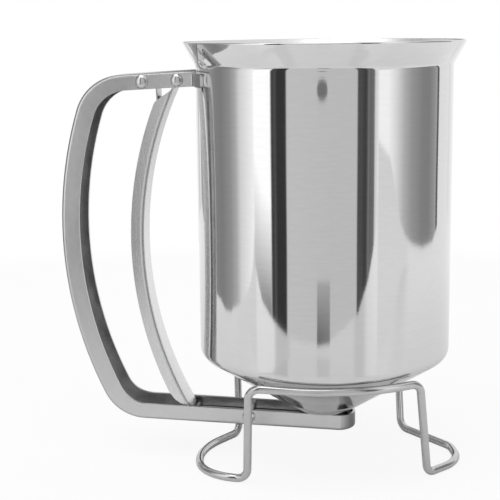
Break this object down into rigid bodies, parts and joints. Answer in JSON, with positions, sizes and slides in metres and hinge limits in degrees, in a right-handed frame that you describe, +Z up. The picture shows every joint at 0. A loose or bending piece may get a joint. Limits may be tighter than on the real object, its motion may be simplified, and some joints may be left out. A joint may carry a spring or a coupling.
{
  "type": "pancake batter dispenser",
  "caption": "Stainless steel pancake batter dispenser: flared cup with a funnel bottom, D-shaped channel handle with a squeeze trigger and gate, on a bent wire stand.",
  "frame": {"origin": "middle of the footprint's bounding box, on the floor the wire stand rests on; the cup's upright axis is at X = +23.6 mm, Y = 0", "axes": "+Z up along the cup's axis; the handle points toward -X; +Y across the handle, so the trigger, spring and gate move in the XZ plane"},
  "size_m": [0.1538, 0.105, 0.162],
  "materials": {
    "polished_steel": "mirror polished",
    "satin_steel": "satin, fine brushing along the length",
    "spring_steel": "plain bright spring steel",
    "polished_wire": "polished drawn wire",
    "rivet_steel": "tumbled, slightly dull"
  },
  "bodies": {
    "stand": {"wire_stand": "polished_wire"},
    "cup": {"cup_body": "polished_steel", "outlet_saucer": "polished_steel", "handle_channel": "satin_steel", "pivot_rivet": "rivet_steel", "spring_rivet": "rivet_steel", "guide_rivet": "rivet_steel"},
    "trigger": {"trigger_lever": "satin_steel"},
    "spring": {"return_spring": "spring_steel"},
    "gate": {"gate_slide": "satin_steel"}
  },
  "joints": [
    {"name": "cup_lift", "type": "slide", "parent": "stand", "child": "cup", "axis": [0, 0, 1], "range_m": [0, 0.035]},
    {"name": "trigger_pivot", "type": "hinge", "parent": "cup", "child": "trigger", "pos_m": [-0.03069, 0, 0.1479], "axis": [0, 1, 0], "range_deg": [0, 8], "stiffness_Nm_per_rad": 2, "springref_deg": -2.86},
    {"name": "spring_bend", "type": "hinge", "parent": "cup", "child": "spring", "pos_m": [-0.04399, 0, 0.1474], "axis": [0, 1, 0], "range_deg": [0, 12]},
    {"name": "gate_travel", "type": "slide", "parent": "cup", "child": "gate", "axis": [-0.9993, 0, 0.0366], "range_m": [0, 0.0185]}
  ],
  "couplings": [
    {"joint": "spring_bend", "follows": "trigger_pivot", "ratio": 1.425},
    {"joint": "gate_travel", "follows": "trigger_pivot", "m_per_rad": 0.13}
  ]
}
